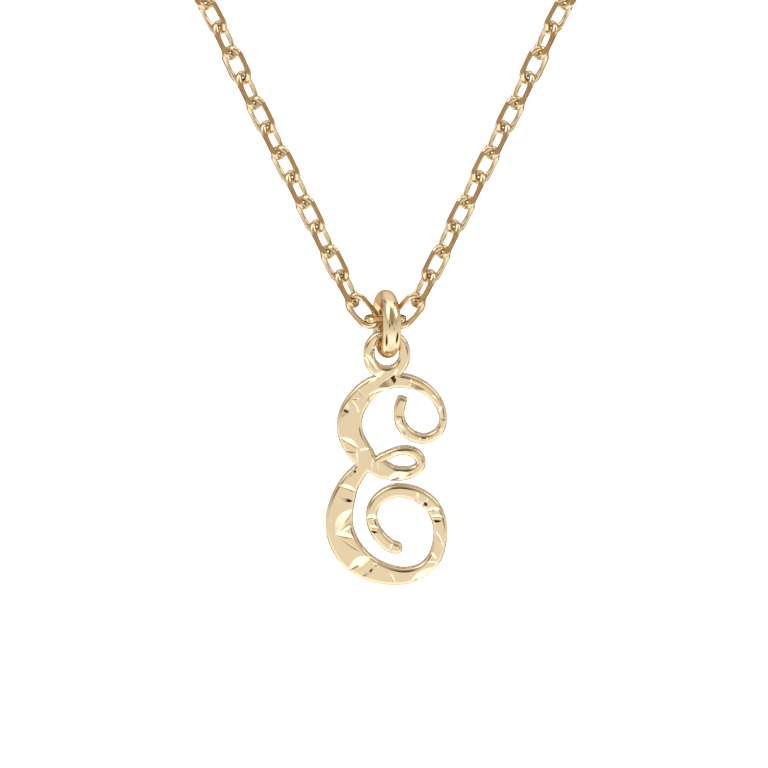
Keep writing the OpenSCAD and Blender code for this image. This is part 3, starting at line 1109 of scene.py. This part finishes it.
    def build(self, source: Object, materials: list[Material]) -> Object:
        """Cuts, shades and places the letter.

        Args:
            source: The CAD node's object, which is only read.
            materials: Materials in the order of Surface.

        Returns:
            The letter.
        """
        plate = add_object("plate", to_mesh(self.blank(source), "plate", materials))
        wheels = add_object("wheels", to_mesh(self.wheels(), "wheels", materials))
        cut = plate.modifiers.new("diamond_cuts", "BOOLEAN")
        cut.operation = "DIFFERENCE"
        cut.solver = "EXACT"
        cut.use_self = True
        cut.object = wheels
        bpy.context.view_layer.update()
        done = plate.evaluated_get(bpy.context.evaluated_depsgraph_get())
        bm = bmesh.new()
        bm.from_mesh(done.to_mesh())
        for obj in (plate, wheels):
            mesh = obj.data
            bpy.data.objects.remove(obj)
            bpy.data.meshes.remove(mesh)
        bmesh.ops.remove_doubles(bm, verts=bm.verts, dist=5e-7)
        for f in bm.faces:
            f.smooth = True
        for e in bm.edges:
            if len(e.link_faces) != 2:
                continue
            kinds = {f.material_index for f in e.link_faces}
            cut_rim = Surface.CUT.value in kinds and len(kinds) == 2
            plain_rim = len({abs(f.normal.y) > 0.9999 for f in e.link_faces}) == 2
            e.smooth = not (cut_rim or plain_rim or e.calc_face_angle(0) > math.radians(self.crease))
        return finish_piece(bm, "letter_gold", "letter", "initial", materials)


# Studio


@dataclass(frozen=True)
class Patch:
    """A round, soft-edged part of the surround.

    Attributes:
        name: What it stands for.
        azimuth: Where its middle lies from the front, in degrees, towards +X.
        elevation: Where its middle lies above the horizon, in degrees.
        inner: Radius within which it is plain, in degrees.
        outer: Radius at which it ends, in degrees.
        colour: Its light.
    """

    name: str
    azimuth: float
    elevation: float
    inner: float
    outer: float
    colour: Colour

    @property
    def towards(self) -> Vector:
        """Direction of the middle of the patch."""
        a, e = math.radians(self.azimuth), math.radians(self.elevation)
        return Vector((math.sin(a) * math.cos(e), -math.cos(a) * math.cos(e), math.sin(e)))


@dataclass(frozen=True)
class Softbox:
    """A square area light.

    Attributes:
        name: Its name.
        offset: Where it hangs from the jump ring, in metres.
        size: Side of the square, in metres.
        power: Power in watts.
    """

    name: str
    offset: Triple
    size: float
    power: float


@dataclass
class Studio:
    """Pale floor, soft light and the camera of the photograph.

    Attributes:
        gauge: The shared sizes.
        elevation: How far the camera looks down, in degrees.
        width: Width of the picture at the pendant, in millimetres.
        distance: Distance of the camera, in metres.
        sensor: Width of the camera's sensor, in millimetres.
        look_across: Where the camera looks from the jump ring, across, in millimetres.
        look_down: The same upwards.
        floor_gap: Gap between the floor and the lowest point, in millimetres.
        floor_size: Half side of the floor, in metres.
        floor_white: Share of the light that the floor gives back.
        floor_glow: Strength of the floor's own light, which keeps it plain.
        sky_stops: Height on the unit sphere and light of each stop of the surround.
        patches: What else the gold mirrors, in the order in which they cover each other.
        softboxes: The lights.
    """

    gauge: Gauge
    elevation: float = 12.0
    width: float = 56.45
    distance: float = 0.6
    sensor: float = 36.0
    look_across: float = -0.2
    look_down: float = -4.51
    floor_gap: float = 12.0
    floor_size: float = 8.0
    floor_white: float = 0.95
    floor_glow: float = 0.55
    sky_stops: tuple[tuple[float, Colour], ...] = (
        (-1.0, (1.2, 1.15, 1.08)), (-0.7, (1.6, 1.58, 1.55)), (-0.4, (1.3, 1.27, 1.22)),
        (-0.2, (1.03, 1.01, 0.98)), (0.0, (0.9, 0.87, 0.83)), (0.3, (0.62, 0.56, 0.49)),
        (0.7, (0.8, 0.74, 0.67)), (0.88, (1.5, 1.48, 1.45)), (1.0, (1.9, 1.9, 1.9)))
    patches: tuple[Patch, ...] = (
        Patch("far_side", 180, -14, 14, 34, (0.8, 0.7, 0.55)),
        Patch("backdrop", 180, 58, 20, 44, (1.05, 1.0, 0.95)),
        Patch("window", -55, 35, 12, 24, (1.7, 1.7, 1.7)),
        Patch("left_flag", -78, -34, 9, 18, (0.05, 0.03, 0.015)),
        Patch("right_flag", 76, -32, 10, 20, (0.05, 0.03, 0.015)),
        Patch("room", 0, 42, 16, 36, (0.45, 0.37, 0.28)),
        Patch("lens", 0, 13, 4, 10, (0.04, 0.022, 0.01)),
        Patch("hand", 25, -6, 2, 7, (0.2, 0.12, 0.06)),
        Patch("stand", -30, 3, 5, 9, (0.08, 0.04, 0.015)),
    )
    softboxes: tuple[Softbox, ...] = (
        Softbox("softbox_left", (-0.35, -0.25, 0.45), 0.3, 0.7),
        Softbox("softbox_right", (0.4, -0.1, 0.3), 0.25, 0.4),
    )

    def floor(self, lowest: float) -> Object:
        """Lays the plain pale floor under the necklace.

        Args:
            lowest: Height of the object's lowest point, in metres.

        Returns:
            The staged floor.
        """
        bm = bmesh.new()
        bmesh.ops.create_grid(bm, x_segments=1, y_segments=1, size=self.floor_size)
        bmesh.ops.translate(bm, verts=bm.verts, vec=(0, 0, lowest - self.floor_gap * MM))
        mat = bpy.data.materials.new("pale_floor")
        mat.use_nodes = True
        set_inputs(mat.node_tree.nodes["Principled BSDF"], {
            "Base Color": (self.floor_white, self.floor_white, self.floor_white, 1),
            "Roughness": 0.9,
            "Specular IOR Level": 0.0,
            "Emission Color": (1, 1, 1, 1),
            "Emission Strength": self.floor_glow,
        })
        floor = add_object("floor", to_mesh(bm, "floor", [mat]))
        floor.visible_glossy = False
        floor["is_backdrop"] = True
        return floor

    def sky(self) -> None:
        """Sets up the surround: white to the camera, and light with darker parts to the gold."""
        world = bpy.data.worlds.new("studio")
        bpy.context.scene.world = world
        world.use_nodes = True
        t = world.node_tree
        t.nodes.clear()
        where = t.nodes.new("ShaderNodeTexCoord")
        split = t.nodes.new("ShaderNodeSeparateXYZ")
        height = add_node(t, "ShaderNodeMapRange", {"From Min": -1.0})
        ramp = t.nodes.new("ShaderNodeValToRGB")
        line = ramp.color_ramp
        while len(line.elements) < len(self.sky_stops):
            line.elements.new(0.5)
        for el, (at, colour) in zip(line.elements, self.sky_stops):
            el.position = (at + 1) / 2
            el.color = (*colour, 1)
        colour = ramp.outputs[0]
        for patch in self.patches:
            near = t.nodes.new("ShaderNodeVectorMath")
            near.operation = "DOT_PRODUCT"
            near.label = patch.name
            near.inputs[1].default_value = patch.towards
            soft = add_node(t, "ShaderNodeMapRange", {
                "From Min": math.cos(math.radians(patch.outer)),
                "From Max": math.cos(math.radians(patch.inner)),
            })
            soft.interpolation_type = "SMOOTHSTEP"
            laid = colour_mix(t, patch.colour)
            wire_up(t, [
                (where.outputs["Generated"], near.inputs[0]),
                (near.outputs["Value"], soft.inputs["Value"]),
                (soft.outputs[0], laid.inputs[MIX_FACTOR]),
                (colour, laid.inputs[MIX_A]),
            ])
            colour = laid.outputs[MIX_RESULT]
        seen = t.nodes.new("ShaderNodeLightPath")
        shown = colour_mix(t, (1, 1, 1))
        light = t.nodes.new("ShaderNodeBackground")
        out = t.nodes.new("ShaderNodeOutputWorld")
        wire_up(t, [
            (where.outputs["Generated"], split.inputs[0]),
            (split.outputs["Z"], height.inputs["Value"]),
            (height.outputs[0], ramp.inputs[0]),
            (seen.outputs["Is Camera Ray"], shown.inputs[MIX_FACTOR]),
            (colour, shown.inputs[MIX_A]),
            (shown.outputs[MIX_RESULT], light.inputs["Color"]),
            (light.outputs[0], out.inputs["Surface"]),
        ])

    def lights(self) -> None:
        """Hangs the soft lights over the pendant."""
        for box in self.softboxes:
            lamp = bpy.data.lights.new(box.name, "AREA")
            lamp.size = box.size
            lamp.energy = box.power
            offset = Vector(box.offset)
            obj = add_object(box.name, lamp)
            obj.location = self.gauge.ring_at * MM + offset
            obj.rotation_euler = (-offset).to_track_quat("-Z", "Y").to_euler()

    def camera(self) -> None:
        """Places the camera as in the photograph."""
        e = math.radians(self.elevation)
        data = bpy.data.cameras.new("camera")
        data.sensor_width = self.sensor
        data.lens = self.sensor * self.distance / (self.width * MM)
        data.clip_start = 0.01
        data.clip_end = 20.0
        cam = add_object("camera", data)
        target = (self.gauge.ring_at + Vector((self.look_across, 0, self.look_down))) * MM
        back = Vector((0, -math.cos(e), math.sin(e)))
        cam.location = target + back * self.distance
        cam.rotation_euler = (-back).to_track_quat("-Z", "Y").to_euler()
        bpy.context.scene.camera = cam
        bpy.context.scene.view_settings.view_transform = "Standard"


def main() -> None:
    """Builds the pieces in order, then the studio, with the floor under the CAD model's lowest point."""
    logging.basicConfig(level=logging.INFO, format="%(message)s")
    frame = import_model()
    cad_low, cad_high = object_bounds()
    polish, milling = polish_group(), milling_group()
    gold = {name: finish.build(polish, milling) for name, finish in FINISHES.items()}
    gauge = Gauge()
    chain = Chain(gauge)
    flats = [gold["chain"], gold["chain_flat"]]
    chain.build(-1, "chain_left_gold", "chain_left", flats)
    chain.build(1, "chain_right_gold", "chain_right", flats)
    JumpRing(gauge).build(gold["ring"])
    Clasp(gauge).build(chain, gold["clasp"])
    letter_golds = [gold["letter_front"], gold["letter_cut"], gold["letter_wall"]]
    Letter(gauge).build(frame["nodes"]["initial"], letter_golds)
    studio = Studio(gauge)
    studio.floor(cad_low.z)
    studio.sky()
    studio.lights()
    studio.camera()


if __name__ == "__main__":
    main()
